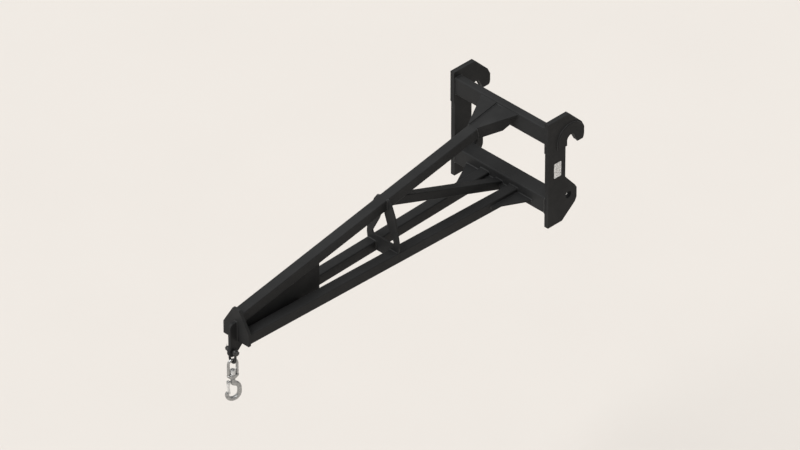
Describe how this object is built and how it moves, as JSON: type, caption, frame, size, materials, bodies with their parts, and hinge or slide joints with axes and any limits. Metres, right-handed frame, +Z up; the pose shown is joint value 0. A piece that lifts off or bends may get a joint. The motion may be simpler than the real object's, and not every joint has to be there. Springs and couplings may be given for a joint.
{
  "type": "lattice lifting jib",
  "caption": "Black triangular lattice lifting boom on a loader quick-coupler frame, with a shackle and a galvanised swivel safety hook at its nose.",
  "frame": {"origin": "on the axis of the coupler's top bar, in the throats of the two side hooks, midway between the side plates", "axes": "+X forward along the boom to its nose, +Y to the left side plate, +Z up"},
  "size_m": [2.6582, 0.856, 1.106],
  "materials": {
    "painted_frame": "satin powder coat",
    "black_forged": "semi-gloss black",
    "galvanised_forging": "galvanised",
    "machined_steel": "zinc plated",
    "latch_sheet": "zinc plated",
    "bright_steel": "bright",
    "plate_aluminium": "brushed, blank"
  },
  "bodies": {
    "frame": {"hook_head_left": "painted_frame", "hook_head_right": "painted_frame", "hook_doubler_left": "painted_frame", "hook_doubler_right": "painted_frame", "ear_plate_left": "painted_frame", "ear_plate_right": "painted_frame", "upper_cross_tube": "painted_frame", "lower_cross_tube": "painted_frame", "upper_chord": "painted_frame", "lower_chord_left": "painted_frame", "lower_chord_right": "painted_frame", "diagonal_brace": "painted_frame", "upper_gusset_left": "painted_frame", "upper_gusset_right": "painted_frame", "lower_gusset_left": "painted_frame", "lower_gusset_right": "painted_frame", "inner_gusset_left": "painted_frame", "inner_gusset_right": "painted_frame", "mid_diaphragm": "painted_frame", "nose_web": "painted_frame", "nose_tie_plate": "painted_frame", "nose_plate": "painted_frame", "hanger_lug": "painted_frame", "data_plate": "plate_aluminium", "data_plate_rivets": "bright_steel"},
    "shackle": {"shackle": "black_forged", "hanger_bolt": "black_forged", "hanger_nut": "black_forged", "split_pin": "bright_steel"},
    "swivel_eye": {"swivel_eye": "galvanised_forging"},
    "hook": {"hook": "galvanised_forging", "thrust_washer": "machined_steel", "shank_nut": "machined_steel", "nut_pin": "bright_steel", "latch_pin": "bright_steel", "latch_spring": "bright_steel"},
    "latch": {"latch": "latch_sheet"}
  },
  "joints": [
    {"name": "shackle_swing", "type": "hinge", "parent": "frame", "child": "shackle", "pos_m": [2.48, 0, -0.549], "axis": [0, 1, 0], "range_deg": [-60, 60]},
    {"name": "eye_swing", "type": "hinge", "parent": "shackle", "child": "swivel_eye", "pos_m": [2.48, 0, -0.608], "axis": [1, 0, 0], "range_deg": [-40, 40]},
    {"name": "hook_swivel", "type": "hinge", "parent": "swivel_eye", "child": "hook", "pos_m": [2.48, 0, -0.75], "axis": [0, 0, 1], "continuous": true},
    {"name": "latch_hinge", "type": "hinge", "parent": "hook", "child": "latch", "pos_m": [2.50537, -0.00924, -0.776], "axis": [0.342, 0.9397, 0], "range_deg": [0, 32], "stiffness_Nm_per_rad": 0.2, "springref_deg": -20.05}
  ]
}
